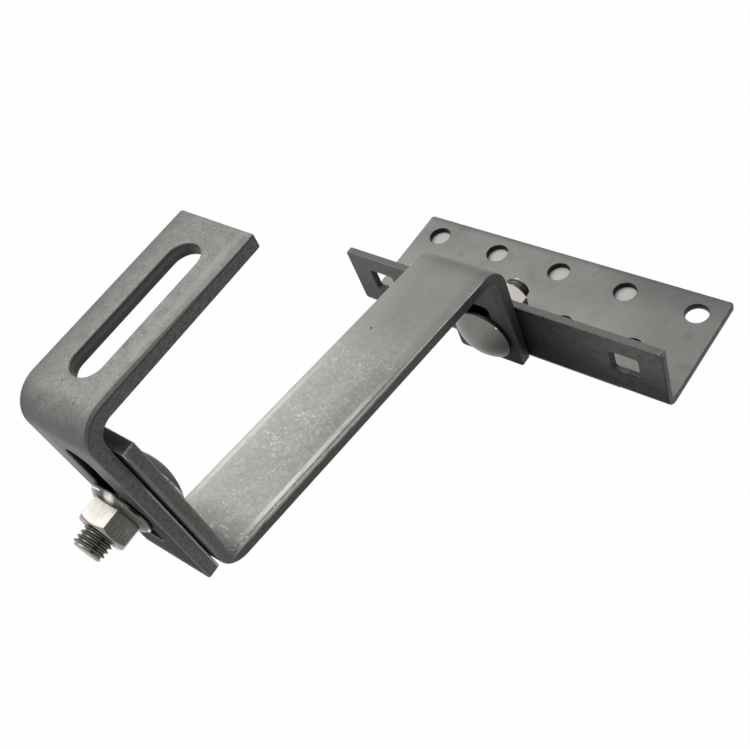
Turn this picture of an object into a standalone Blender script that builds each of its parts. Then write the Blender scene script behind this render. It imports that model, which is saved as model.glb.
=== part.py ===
"""Solar roof hook: a stainless steel bracket that carries a mounting rail above a tiled roof.

The base plate is screwed to a rafter, the bent arm reaches out over the tile below, and the slotted
clip at the arm's end takes the rail. Two carriage bolts with flange nuts clamp the three together, and
the nut at the base plate has a washer under it.

Axes, in metres: X runs along the base plate, +Y points up the roof from the clip to the base plate,
and +Z points away from the roof. The origin is the middle of the base plate's underside.
"""
import math

import bmesh
import bpy
from mathutils import Matrix, Vector

# Base plate: one folded sheet, with screw holes in the plate and square bolt holes in the flange
BASE_LENGTH = 0.143
BASE_DEPTH = 0.052
BASE_THICKNESS = 0.003
BASE_BEND_RADIUS = 0.0025
BASE_CORNER_RADIUS = 0.0013
BASE_EDGE_BREAK = 0.0004
FLANGE_HEIGHT = 0.0328
SCREW_HOLE_DIAMETER = 0.0092
SCREW_HOLE_PITCH = 0.0305
SCREW_HOLES_FAR = 5
SCREW_FAR_ROW_FROM_EDGE = 0.0095
SCREW_ROW_SPACING = 0.024
FLANGE_HOLE_HEIGHT = 0.0192
FLANGE_END_HOLE_FROM_MIDDLE = 0.0557
SQUARE_HOLE_CORNER_RADIUS = 0.0012

# Arm: one flat bar, bent down against the flange and up behind the clip
ARM_WIDTH = 0.030
ARM_THICKNESS = 0.0046
ARM_SHOULDER_RADIUS = 0.0075
ARM_ELBOW_RADIUS = 0.0045
ARM_FROM_MIDDLE = -0.0028
ARM_LEG_FOOT_HEIGHT = 0.0024
ARM_SHOULDER_HEIGHT = 0.0579
ARM_REACH = 0.142
ARM_RISE = math.radians(8.0)
ARM_END_LENGTH = 0.0618
ARM_END_LEAN = math.radians(1.0)
ARM_SLOT_TOP_HEIGHT = 0.0335
ARM_SLOT_FOOT_HEIGHT = 0.0095
ARM_SLOT_CORNER_RADIUS = 0.002
ARM_CORNER_RADIUS = 0.0015
ARM_EDGE_BREAK = 0.0004

# Clip: one flat bar bent to a right angle, with a long slot in each leg
CLIP_WIDTH = 0.0289
CLIP_THICKNESS = 0.0048
CLIP_BEND_RADIUS = 0.0055
CLIP_FROM_ARM_MIDDLE = -0.0022
CLIP_SLOTS_FROM_ARM_MIDDLE = -0.0028
CLIP_CORNER_RADIUS = 0.0008
CLIP_EDGE_BREAK = 0.0007
CLIP_RISE = 0.0758
CLIP_LEG_LENGTH = 0.0772
CLIP_TOP_LENGTH = 0.0712
CLIP_TOP_DROOP = math.radians(0.7)
CLIP_SLOT_WIDTH = 0.011
CLIP_SLOT_LENGTH = 0.0482
CLIP_TOP_SLOT_FROM_TIP = 0.009
CLIP_LEG_SLOT_FROM_TIP = 0.0127

# Fasteners: carriage bolts with a square neck, hexagon nuts with a pressed flange, and a flat washer
BOLT_DIAMETER = 0.0099
BOLT_LENGTH = 0.0264
BOLT_HEAD_DIAMETER = 0.0246
BOLT_HEAD_HEIGHT = 0.0055
BOLT_HEAD_RIM = 0.0013
BOLT_HEAD_RIM_ROUND = 0.0004
BOLT_NECK_SIDE = 0.0100
BOLT_NECK_LENGTH = 0.0042
BOLT_NECK_PLAY = 0.0013
BOLT_TIP_CHAMFER = 0.0010
NUT_WIDTH = 0.015
NUT_HEIGHT = 0.010
NUT_CHAMFER = math.radians(35.0)
NUT_END_FACE_SHARE = 0.94
NUT_BORE_PLAY = 0.0007
NUT_BORE_COUNTERSINK = 0.0006
NUT_FLANGE_DIAMETER = 0.0208
NUT_FLANGE_RIM = 0.0014
NUT_FLANGE_CONE_HEIGHT = 0.0031
WASHER_DIAMETER = 0.020
WASHER_THICKNESS = 0.002
WASHER_BORE_PLAY = 0.0006
ARM_BOLT_HEIGHT = 0.0165
ARM_NUT_TURN = math.radians(38.0)
CLIP_BOLT_RISE = 0.0311
CLIP_NUT_TURN = math.radians(50.0)

# Fit between the pieces, and how finely round shapes are divided
SEAT_GAP = 0.0003
CUT_OVERRUN = 0.002
BEND_STEPS = 8
HOLE_STEPS = 32
BOLT_STEPS = 40
ARC_STEPS = 6

STEEL_COLOUR = (0.36, 0.36, 0.34, 1.0)
FASTENER_COLOUR = (0.62, 0.62, 0.58, 1.0)
STEEL_ROUGHNESS = 0.45
FASTENER_ROUGHNESS = 0.28


def steel(name, colour, roughness):
    material = bpy.data.materials.new(name)
    material.use_nodes = True
    shader = material.node_tree.nodes["Principled BSDF"]
    shader.inputs["Base Color"].default_value = colour
    shader.inputs["Roughness"].default_value = roughness
    shader.inputs["Metallic"].default_value = 1.0
    return material


def add_object(name, shape, material=None):
    """Turn a bmesh into a named object with outward faces and smooth shading across its facets."""
    bmesh.ops.remove_doubles(shape, verts=shape.verts, dist=SEAT_GAP / 100)
    bmesh.ops.recalc_face_normals(shape, faces=shape.faces)
    mesh = bpy.data.meshes.new(name)
    shape.to_mesh(mesh)
    shape.free()
    mesh.shade_smooth()
    mesh.set_sharp_from_angle(angle=math.radians(35.0))
    item = bpy.data.objects.new(name, mesh)
    bpy.context.scene.collection.objects.link(item)
    if material:
        mesh.materials.append(material)
    return item


def add_cutter(name, shape):
    cutter = add_object(name, shape)
    cutter.hide_render = True
    cutter.display_type = "WIRE"
    return cutter


def combine(item, tool, operation):
    modifier = item.modifiers.new(tool.name, "BOOLEAN")
    modifier.operation = operation
    modifier.solver = "EXACT"
    modifier.object = tool


def side_point(y, z):
    return Vector((0.0, y, z))


def bend_arc(corner, into, out, radius, steps):
    """Return the centre and the points of a fillet where a path turns at a corner."""
    turn = into.angle(out)
    reach = radius * math.tan(turn / 2)
    axis = into.cross(out).normalized()
    start = corner - into * reach
    centre = start + axis.cross(into) * radius
    points = []
    for step in range(steps + 1):
        spin = Matrix.Rotation(turn * step / steps, 3, axis)
        points.append(centre + spin @ (start - centre))
    return centre, points


def bar_sections(path, thickness, inner_radii, across):
    """Follow one face of a bent bar and pair each of its points with the point on the other face.

    The path lies in the YZ plane. across is +1 where the bar lies on the +X-turned side of the path,
    and -1 where it lies on the other.
    """
    x_axis = Vector((1.0, 0.0, 0.0))
    directions = [(end - start).normalized() for start, end in zip(path, path[1:])]
    sections = [(path[0], path[0] + x_axis.cross(directions[0]) * thickness * across)]
    for corner, into, out, inner_radius in zip(path[1:], directions, directions[1:], inner_radii):
        folds_towards_bar = into.cross(out).x * across > 0
        radius = inner_radius + (thickness if folds_towards_bar else 0.0)
        centre, arc = bend_arc(corner, into, out, radius, BEND_STEPS)
        for point in arc:
            outward = (point - centre).normalized()
            step = -outward if folds_towards_bar else outward
            sections.append((point, point + step * thickness))
    sections.append((path[-1], path[-1] + x_axis.cross(directions[-1]) * thickness * across))
    return sections


def bent_bar(name, sections, width, middle, material, corner_radius, edge_break):
    """Sweep the paired points across a width, then round the bar's corners and break its edges."""
    shape = bmesh.new()
    rings = []
    for near, far in sections:
        ring = [
            shape.verts.new(point + Vector((middle + side * width / 2, 0.0, 0.0)))
            for side, point in ((-1, near), (1, near), (1, far), (-1, far))
        ]
        rings.append(ring)
    for ring, following in zip(rings, rings[1:]):
        for index in range(len(ring)):
            beside = (index + 1) % len(ring)
            shape.faces.new((ring[index], ring[beside], following[beside], following[index]))
    shape.faces.new(rings[0][::-1])
    shape.faces.new(rings[-1])
    corners = []
    for ring in (rings[0], rings[-1]):
        corners.append(shape.edges.get((ring[0], ring[3])))
        corners.append(shape.edges.get((ring[1], ring[2])))
    bmesh.ops.bevel(
        shape, geom=corners, offset=corner_radius, segments=ARC_STEPS, profile=0.5, affect="EDGES"
    )
    bar = add_object(name, shape, material)
    rounding = bar.modifiers.new("edge_break", "BEVEL")
    rounding.width = edge_break
    rounding.segments = 2
    rounding.limit_method = "ANGLE"
    rounding.angle_limit = math.radians(60.0)
    return bar


def prism(outline, depth):
    """Extrude a closed outline in the XY plane by a depth on both sides of it."""
    shape = bmesh.new()
    lower = [shape.verts.new((x, y, -depth)) for x, y in outline]
    upper = [shape.verts.new((x, y, depth)) for x, y in outline]
    shape.faces.new(lower[::-1])
    shape.faces.new(upper)
    for index in range(len(outline)):
        beside = (index + 1) % len(outline)
        shape.faces.new((lower[index], lower[beside], upper[beside], upper[index]))
    return shape


def rounded_outline(width, length, radius, steps):
    """Return a rectangle's outline with rounded corners: an obround where the radius is half a side."""
    points = []
    for quarter in range(4):
        across = 1 if quarter in (0, 3) else -1
        along = 1 if quarter in (0, 1) else -1
        for step in range(steps + 1):
            angle = math.radians(90.0) * (quarter + step / steps)
            x = across * (width / 2 - radius) + radius * math.cos(angle)
            y = along * (length / 2 - radius) + radius * math.sin(angle)
            if not points or math.dist(points[-1], (x, y)) > SEAT_GAP / 10:
                points.append((x, y))
    if math.dist(points[0], points[-1]) < SEAT_GAP / 10:
        points.pop()
    return points


def facing(direction, up):
    """Return the turn that takes +Z to a direction and +Y as near as it can to another."""
    out = direction.normalized()
    side = up.cross(out).normalized()
    return Matrix((side, out.cross(side), out)).transposed().to_4x4()


def cut_opening(item, name, outline, centre, direction, up, depth):
    cutter = add_cutter(name, prism(outline, depth + CUT_OVERRUN))
    cutter.matrix_world = Matrix.Translation(centre) @ facing(direction, up)
    combine(item, cutter, "DIFFERENCE")


def turned(profile, steps):
    """Turn a profile of (radius, height) points about Z; radii of zero close on the axis."""
    shape = bmesh.new()
    rows = []
    for radius, height in profile:
        if radius == 0.0:
            rows.append([shape.verts.new((0.0, 0.0, height))])
            continue
        row = []
        for step in range(steps):
            angle = math.tau * step / steps
            row.append(shape.verts.new((radius * math.cos(angle), radius * math.sin(angle), height)))
        rows.append(row)
    for row, following in zip(rows, rows[1:]):
        for step in range(steps):
            beside = (step + 1) % steps
            ring = [row[step % len(row)], row[beside % len(row)]]
            ring += [following[beside % len(following)], following[step % len(following)]]
            shape.faces.new(dict.fromkeys(ring))
    return shape


def dome_profile():
    """Return the mushroom head's points from its seat at height zero to its crown."""
    edge = BOLT_HEAD_DIAMETER / 2
    rim_top = -BOLT_HEAD_RIM
    crown = BOLT_HEAD_HEIGHT - BOLT_HEAD_RIM
    sphere = (edge**2 + crown**2) / (2 * crown)
    half_angle = math.asin(edge / sphere)
    points = [(edge - BOLT_HEAD_RIM_ROUND, 0.0), (edge, -BOLT_HEAD_RIM_ROUND)]
    for step in range(ARC_STEPS + 1):
        angle = half_angle * (1 - step / ARC_STEPS)
        radius = sphere * math.sin(angle)
        height = rim_top - sphere * (math.cos(angle) - math.cos(half_angle))
        points.append((0.0 if step == ARC_STEPS else radius, height))
    return points[::-1]


def carriage_bolt(name, material):
    """Build a bolt whose head is seated at height zero and whose shank points up +Z."""
    shank = BOLT_DIAMETER / 2
    profile = dome_profile()
    profile += [
        (shank, 0.0),
        (shank, BOLT_LENGTH - BOLT_TIP_CHAMFER),
        (shank - BOLT_TIP_CHAMFER, BOLT_LENGTH),
        (0.0, BOLT_LENGTH),
    ]
    bolt = add_object(name, turned(profile, BOLT_STEPS), material)
    half_neck = (BOLT_NECK_LENGTH + BOLT_HEAD_RIM) / 2
    side = BOLT_NECK_SIDE
    outline = rounded_outline(side, side, SQUARE_HOLE_CORNER_RADIUS / 2, 2)
    neck = add_cutter(name + "_neck", prism(outline, half_neck))
    neck.location.z = half_neck - BOLT_HEAD_RIM
    neck.parent = bolt
    combine(bolt, neck, "UNION")
    return bolt


def flange_nut(name, material):
    """Build a nut whose flange is seated at height zero and whose hexagon points up +Z."""
    corner = NUT_WIDTH / 2 / math.cos(math.radians(30.0))
    outline = []
    for point in range(6):
        angle = math.radians(60.0) * point
        outline.append((corner * math.cos(angle), corner * math.sin(angle)))
    body = prism(outline, NUT_HEIGHT / 2)
    bmesh.ops.translate(body, vec=(0.0, 0.0, NUT_HEIGHT / 2), verts=body.verts)
    nut = add_object(name, body, material)

    bearing = NUT_WIDTH / 2
    end_face = bearing * NUT_END_FACE_SHARE
    drop = (corner + CUT_OVERRUN - end_face) * math.tan(NUT_CHAMFER)
    envelope = [
        (0.0, -CUT_OVERRUN),
        (corner + CUT_OVERRUN, -CUT_OVERRUN),
        (corner + CUT_OVERRUN, NUT_HEIGHT - drop),
        (end_face, NUT_HEIGHT),
        (0.0, NUT_HEIGHT),
    ]
    chamfer = add_cutter(name + "_chamfer", turned(envelope, BOLT_STEPS))
    combine(nut, chamfer, "INTERSECT")

    rim = NUT_FLANGE_DIAMETER / 2
    skirt = [
        (0.0, 0.0),
        (rim, 0.0),
        (rim, NUT_FLANGE_RIM),
        (bearing, NUT_FLANGE_CONE_HEIGHT),
        (0.0, NUT_FLANGE_CONE_HEIGHT),
    ]
    flange = add_cutter(name + "_flange", turned(skirt, BOLT_STEPS))
    combine(nut, flange, "UNION")

    bore = (BOLT_DIAMETER + NUT_BORE_PLAY) / 2
    mouth = bore + NUT_BORE_COUNTERSINK
    opening = [
        (0.0, -CUT_OVERRUN),
        (mouth + CUT_OVERRUN, -CUT_OVERRUN),
        (bore, NUT_BORE_COUNTERSINK),
        (bore, NUT_HEIGHT - NUT_BORE_COUNTERSINK),
        (mouth + CUT_OVERRUN, NUT_HEIGHT + CUT_OVERRUN),
        (0.0, NUT_HEIGHT + CUT_OVERRUN),
    ]
    thread = add_cutter(name + "_bore", turned(opening, BOLT_STEPS))
    combine(nut, thread, "DIFFERENCE")
    for tool in (chamfer, flange, thread):
        tool.parent = nut
    return nut


def flat_washer(name, material):
    """Build a washer that lies on height zero."""
    bore = (BOLT_DIAMETER + WASHER_BORE_PLAY) / 2
    rim = WASHER_DIAMETER / 2
    profile = [(bore, 0.0), (rim, 0.0), (rim, WASHER_THICKNESS), (bore, WASHER_THICKNESS), (bore, 0.0)]
    return add_object(name, turned(profile, BOLT_STEPS), material)


def place(item, seat, direction, up, turn=0.0):
    item.matrix_world = Matrix.Translation(seat) @ facing(direction, up) @ Matrix.Rotation(turn, 4, "Z")


def build_base_plate(material, front_y, arm_bolt_seat):
    path = [
        side_point(front_y, FLANGE_HEIGHT),
        side_point(front_y, 0.0),
        side_point(front_y + BASE_DEPTH, 0.0),
    ]
    sections = bar_sections(path, BASE_THICKNESS, [BASE_BEND_RADIUS], 1)
    plate = bent_bar(
        "base_plate", sections, BASE_LENGTH, 0.0, material, BASE_CORNER_RADIUS, BASE_EDGE_BREAK
    )
    round_hole = rounded_outline(
        SCREW_HOLE_DIAMETER, SCREW_HOLE_DIAMETER, SCREW_HOLE_DIAMETER / 2, HOLE_STEPS // 4
    )
    far_y = front_y + BASE_DEPTH - SCREW_FAR_ROW_FROM_EDGE
    for row, count in enumerate((SCREW_HOLES_FAR, SCREW_HOLES_FAR - 1)):
        for index in range(count):
            centre = Vector((
                (index - (count - 1) / 2) * SCREW_HOLE_PITCH,
                far_y - row * SCREW_ROW_SPACING,
                BASE_THICKNESS / 2,
            ))
            cut_opening(
                plate, f"screw_hole_{row}_{index}", round_hole, centre, Z_AXIS, Y_AXIS, BASE_THICKNESS
            )
    side = BOLT_NECK_SIDE + BOLT_NECK_PLAY
    square = rounded_outline(side, side, SQUARE_HOLE_CORNER_RADIUS, ARC_STEPS)
    middle_y = front_y + BASE_THICKNESS / 2
    centres = [
        Vector((sign * FLANGE_END_HOLE_FROM_MIDDLE, middle_y, FLANGE_HOLE_HEIGHT)) for sign in (-1, 1)
    ]
    centres.append(Vector((arm_bolt_seat.x, middle_y, arm_bolt_seat.z)))
    for index, centre in enumerate(centres):
        cut_opening(plate, f"flange_hole_{index}", square, centre, Y_AXIS, Z_AXIS, BASE_THICKNESS)
    return plate


def build_arm(material, path, bolt_seat, clip_bolt_seat, end_up):
    sections = bar_sections(path, ARM_THICKNESS, [ARM_SHOULDER_RADIUS, ARM_ELBOW_RADIUS], 1)
    arm = bent_bar(
        "hook_arm", sections, ARM_WIDTH, ARM_FROM_MIDDLE, material, ARM_CORNER_RADIUS, ARM_EDGE_BREAK
    )
    side = BOLT_NECK_SIDE + BOLT_NECK_PLAY
    slot_height = ARM_SLOT_TOP_HEIGHT - ARM_SLOT_FOOT_HEIGHT
    slot = rounded_outline(side, slot_height, ARM_SLOT_CORNER_RADIUS, ARC_STEPS)
    centre = Vector((bolt_seat.x, bolt_seat.y, (ARM_SLOT_TOP_HEIGHT + ARM_SLOT_FOOT_HEIGHT) / 2))
    cut_opening(arm, "arm_slot", slot, centre, Y_AXIS, Z_AXIS, 2 * ARM_THICKNESS)
    square = rounded_outline(side, side, SQUARE_HOLE_CORNER_RADIUS, ARC_STEPS)
    out = X_AXIS.cross(end_up)
    cut_opening(arm, "arm_end_hole", square, clip_bolt_seat, out, end_up, 2 * ARM_THICKNESS)
    return arm


def build_clip(material, foot, corner, tip, middle, slots_middle):
    sections = bar_sections([foot, corner, tip], CLIP_THICKNESS, [CLIP_BEND_RADIUS], -1)
    clip = bent_bar(
        "rail_clip", sections, CLIP_WIDTH, middle, material, CLIP_CORNER_RADIUS, CLIP_EDGE_BREAK
    )
    slot = rounded_outline(CLIP_SLOT_WIDTH, CLIP_SLOT_LENGTH, CLIP_SLOT_WIDTH / 2, HOLE_STEPS // 4)
    ends = ((foot, CLIP_LEG_SLOT_FROM_TIP), (tip, CLIP_TOP_SLOT_FROM_TIP))
    for index, (end, margin) in enumerate(ends):
        along = (corner - end).normalized()
        centre = end + along * (margin + CLIP_SLOT_LENGTH / 2)
        centre.x = slots_middle
        cut_opening(
            clip, f"clip_slot_{index}", slot, centre, X_AXIS.cross(along), along, 2 * CLIP_THICKNESS
        )
    return clip


for leftover in list(bpy.data.objects):
    bpy.data.objects.remove(leftover)

X_AXIS = Vector((1.0, 0.0, 0.0))
Y_AXIS = Vector((0.0, 1.0, 0.0))
Z_AXIS = Vector((0.0, 0.0, 1.0))

bar_steel = steel("bar_steel", STEEL_COLOUR, STEEL_ROUGHNESS)
bolt_steel = steel("bolt_steel", FASTENER_COLOUR, FASTENER_ROUGHNESS)

flange_front = -BASE_DEPTH / 2
arm_back = flange_front - SEAT_GAP
run_out = side_point(-math.cos(ARM_RISE), math.sin(ARM_RISE))
end_up = side_point(-math.sin(ARM_END_LEAN), math.cos(ARM_END_LEAN))
end_out = X_AXIS.cross(end_up)

arm_foot = side_point(arm_back, ARM_LEG_FOOT_HEIGHT)
arm_shoulder = side_point(arm_back, ARM_SHOULDER_HEIGHT)
arm_elbow = arm_shoulder + run_out * ARM_REACH
arm_tip = arm_elbow + end_up * ARM_END_LENGTH

clip_face = arm_elbow + end_out * (ARM_THICKNESS + SEAT_GAP + CLIP_THICKNESS)
clip_corner = clip_face + end_up * CLIP_RISE
clip_foot = clip_corner - end_up * CLIP_LEG_LENGTH
clip_tip = clip_corner + side_point(math.cos(CLIP_TOP_DROOP), -math.sin(CLIP_TOP_DROOP)) * CLIP_TOP_LENGTH
clip_middle = ARM_FROM_MIDDLE + CLIP_FROM_ARM_MIDDLE
clip_slots_middle = ARM_FROM_MIDDLE + CLIP_SLOTS_FROM_ARM_MIDDLE

arm_bolt_seat = Vector((ARM_FROM_MIDDLE, arm_back - ARM_THICKNESS - SEAT_GAP, ARM_BOLT_HEIGHT))
arm_washer_seat = Vector((ARM_FROM_MIDDLE, flange_front + BASE_THICKNESS + SEAT_GAP, ARM_BOLT_HEIGHT))
arm_nut_seat = arm_washer_seat + Y_AXIS * (WASHER_THICKNESS + SEAT_GAP)
clip_bolt_seat = arm_elbow + end_up * CLIP_BOLT_RISE - end_out * SEAT_GAP
clip_bolt_seat.x = clip_slots_middle
clip_nut_seat = clip_face + end_up * CLIP_BOLT_RISE + end_out * SEAT_GAP
clip_nut_seat.x = clip_slots_middle

build_base_plate(bar_steel, flange_front, arm_bolt_seat)
build_arm(bar_steel, [arm_foot, arm_shoulder, arm_elbow, arm_tip], arm_bolt_seat, clip_bolt_seat, end_up)
build_clip(bar_steel, clip_foot, clip_corner, clip_tip, clip_middle, clip_slots_middle)

place(carriage_bolt("arm_bolt", bolt_steel), arm_bolt_seat, Y_AXIS, Z_AXIS)
place(flat_washer("arm_washer", bolt_steel), arm_washer_seat, Y_AXIS, Z_AXIS)
place(flange_nut("arm_nut", bolt_steel), arm_nut_seat, Y_AXIS, Z_AXIS, ARM_NUT_TURN)
place(carriage_bolt("clip_bolt", bolt_steel), clip_bolt_seat, end_out, end_up)
place(flange_nut("clip_nut", bolt_steel), clip_nut_seat, end_out, end_up, CLIP_NUT_TURN)
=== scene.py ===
import math
import bmesh
import bpy
from mathutils import Matrix, Vector


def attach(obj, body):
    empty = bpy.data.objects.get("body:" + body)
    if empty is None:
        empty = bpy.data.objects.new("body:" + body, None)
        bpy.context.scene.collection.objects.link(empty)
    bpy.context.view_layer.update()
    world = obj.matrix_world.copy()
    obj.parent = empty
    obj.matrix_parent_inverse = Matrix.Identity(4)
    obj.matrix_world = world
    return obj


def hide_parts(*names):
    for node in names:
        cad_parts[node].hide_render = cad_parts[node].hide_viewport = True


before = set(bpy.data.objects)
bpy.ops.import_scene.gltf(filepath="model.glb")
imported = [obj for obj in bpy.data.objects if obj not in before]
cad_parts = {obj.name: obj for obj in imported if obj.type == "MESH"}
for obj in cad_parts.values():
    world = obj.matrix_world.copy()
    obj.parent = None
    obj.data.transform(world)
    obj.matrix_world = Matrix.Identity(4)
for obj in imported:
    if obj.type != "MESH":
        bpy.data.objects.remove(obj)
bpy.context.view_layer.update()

# The viewpoint: above the clip, in front of it and to its right, looking up the roof to the plate.
# The lens is a short telephoto, shifted a little because the picture is cropped off its centre.
eye = Vector((0.20336, -0.21829, 0.33177))
to_right = Vector((0.762589, 0.569529, -0.306749))
to_top = Vector((-0.322268, 0.745642, 0.583234))
photo_camera = bpy.data.cameras.new("photo_camera")
photo_camera.lens = 51.503
photo_camera.sensor_width = 36.0
photo_camera.shift_x = 0.01212
photo_camera.shift_y = 0.02069
photo_camera.clip_start = 0.01
camera = bpy.data.objects.new("photo_camera", photo_camera)
bpy.context.scene.collection.objects.link(camera)
looking = Matrix((to_right, to_top, to_right.cross(to_top))).transposed().to_4x4()
camera.matrix_world = Matrix.Translation(eye) @ looking
bpy.context.scene.camera = camera
bpy.context.scene.view_settings.view_transform = "Standard"

# The base plate is 3 mm stainless sheet, punched with nine screw holes and three square bolt holes,
# then folded to an angle. It is screwed to a rafter, and its upright flange carries the arm.
X_AXIS = Vector((1.0, 0.0, 0.0))
Y_AXIS = Vector((0.0, 1.0, 0.0))
Z_AXIS = Vector((0.0, 0.0, 1.0))
PLATE_LENGTH = 0.143
PLATE_DEPTH = 0.052
PLATE_THICKNESS = 0.003
PLATE_BEND = 0.0025
PLATE_CORNER = 0.0013
PLATE_EDGE_BREAK = 0.00035
FLANGE_FRONT = -0.026
FLANGE_TOP = 0.0328
FLANGE_BACK = FLANGE_FRONT + PLATE_THICKNESS
PLATE_BACK = FLANGE_FRONT + PLATE_DEPTH
PLATE_END = PLATE_LENGTH / 2
SCREW_HOLE = 0.0092
SCREW_PITCH = 0.0305
SCREW_ROWS = ((5, 0.0165), (4, -0.0075))
SQUARE_HOLE = 0.0113
SQUARE_HOLE_CORNER = 0.0012
FLANGE_HOLE_OUT = 0.0557
FLANGE_HOLE_HEIGHT = 0.0192
ARM_MIDDLE = -0.0028
ARM_BOLT_HEIGHT = 0.0165
PUNCH_OVERRUN = 0.002
PUNCHED = -1.0
SAME_POINT = 0.00001
ARC_STEP = 0.0003
LEAST_ARC_STEPS = 4
BEND_STEPS = 24
CORNER_STEPS = 8
SURFACE, CUT, BROKEN_EDGE = range(3)


def side_on(y, z):
    """Return a point or a direction in the plane that cuts the hook in two, front to back."""
    return Vector((0.0, y, z))


def add_piece(name, shape):
    """Turn a shape into an object of the scene."""
    mesh = bpy.data.meshes.new(name)
    shape.to_mesh(mesh)
    shape.free()
    piece = bpy.data.objects.new(name, mesh)
    bpy.context.scene.collection.objects.link(piece)
    return piece


def plain_mesh(piece):
    """Return a piece's mesh with its modifiers worked in."""
    bpy.context.view_layer.update()
    return bpy.data.meshes.new_from_object(piece.evaluated_get(bpy.context.evaluated_depsgraph_get()))


def placed(place, direction, up):
    """Return the matrix that moves a shape made about Z to a place, with its Z along a direction."""
    side = up.cross(direction).normalized()
    turned = Matrix((side, direction.cross(side), direction)).transposed().to_4x4()
    return Matrix.Translation(place) @ turned


def steel_bar(name, corners, radii, thickness, folds, half_width, middle, end_radii):
    """Sweep a flat bar along the corners of one of its faces, with rounded bends and end corners.

    The thickness lies on the side of that face which folds gives, 1 or -1."""
    ways = [(b - a).normalized() for a, b in zip(corners, corners[1:])]
    ribs = [(corners[0], corners[0] + X_AXIS.cross(ways[0]) * thickness * folds)]
    for corner, into, out, radius in zip(corners[1:], ways, ways[1:], radii):
        closing = into.cross(out).x * folds > 0
        near = radius + (thickness if closing else 0.0)
        turn = into.angle(out)
        axis = into.cross(out).normalized()
        start = corner - into * near * math.tan(turn / 2)
        centre = start + axis.cross(into) * near
        for step in range(BEND_STEPS + 1):
            point = centre + Matrix.Rotation(turn * step / BEND_STEPS, 3, axis) @ (start - centre)
            outward = (point - centre).normalized() * (-thickness if closing else thickness)
            ribs.append((point, point + outward))
    ribs.append((corners[-1], corners[-1] + X_AXIS.cross(ways[-1]) * thickness * folds))

    shape = bmesh.new()
    laid_flat = shape.loops.layers.uv.new("flat")
    rings = []
    run = [0.0]
    for (near, far), (near_after, far_after) in zip(ribs, ribs[1:]):
        run.append(run[-1] + ((near + far) - (near_after + far_after)).length / 2)
    for near, far in ribs:
        around = ((-1, near), (1, near), (1, far), (-1, far))
        rings.append([shape.verts.new(p + X_AXIS * (middle + s * half_width)) for s, p in around])
    across = (
        (-half_width, half_width),
        (0.0, thickness),
        (half_width, -half_width),
        (thickness, 0.0),
    )
    for index, (ring, after) in enumerate(zip(rings, rings[1:])):
        for side in range(4):
            beside = (side + 1) % 4
            face = shape.faces.new((ring[side], ring[beside], after[beside], after[side]))
            face.material_index = SURFACE if side in (0, 2) else CUT
            here, there = across[side]
            spots = ((run[index], here), (run[index], there), (run[index + 1], there), (run[index + 1], here))
            for loop, spot in zip(face.loops, spots):
                loop[laid_flat].uv = spot
    shape.faces.new(rings[0][::-1]).material_index = CUT
    shape.faces.new(rings[-1]).material_index = CUT
    ends = []
    for ring in (rings[0], rings[-1]):
        ends.append([shape.edges.get((ring[0], ring[3])), shape.edges.get((ring[1], ring[2]))])
    for edges, radius in zip(ends, end_radii):
        bmesh.ops.bevel(shape, geom=edges, offset=radius, segments=CORNER_STEPS, profile=0.5, affect="EDGES")
    bmesh.ops.recalc_face_normals(shape, faces=shape.faces)
    bar = add_piece(name, shape)
    for kind in ("surface", "cut", "broken_edge"):
        bar.data.materials.append(bpy.data.materials.get(kind) or bpy.data.materials.new(kind))
    return bar


def punch(bar, width, length, corner_radius, centre, direction, up, thickness):
    """Cut a rounded rectangular or obround opening through a bar, centred halfway through it.

    The bar's own walls have a U from 0 up in the flat map, and the opening's walls are told by PUNCHED."""
    shape = bmesh.new()
    laid_flat = shape.loops.layers.uv.new("flat")
    depth = thickness / 2 + PUNCH_OVERRUN
    outline = []
    steps = max(LEAST_ARC_STEPS, round(corner_radius / ARC_STEP))
    for quarter in range(4):
        across = 1 if quarter in (0, 3) else -1
        along = 1 if quarter in (0, 1) else -1
        for step in range(steps + 1):
            angle = math.radians(90.0) * (quarter + step / steps)
            x = across * (width / 2 - corner_radius) + corner_radius * math.cos(angle)
            y = along * (length / 2 - corner_radius) + corner_radius * math.sin(angle)
            if not outline or math.dist(outline[-1], (x, y)) > SAME_POINT:
                outline.append((x, y))
    if math.dist(outline[0], outline[-1]) < SAME_POINT:
        outline.pop()
    floor = [shape.verts.new((x, y, -depth)) for x, y in outline]
    roof = [shape.verts.new((x, y, depth)) for x, y in outline]
    shape.faces.new(floor[::-1])
    shape.faces.new(roof)
    for here in range(len(outline)):
        there = (here + 1) % len(outline)
        shape.faces.new((floor[here], floor[there], roof[there], roof[here]))
    for face in shape.faces:
        for loop in face.loops:
            loop[laid_flat].uv = (PUNCHED, loop.vert.co.z + thickness / 2)
    tool = add_piece("punch", shape)
    tool.data.materials.append(bpy.data.materials["cut"])
    tool.matrix_world = placed(centre, direction, up)
    cut = bar.modifiers.new("punch", "BOOLEAN")
    cut.operation = "DIFFERENCE"
    cut.solver = "EXACT"
    cut.material_mode = "TRANSFER"
    cut.object = tool
    return tool


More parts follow.
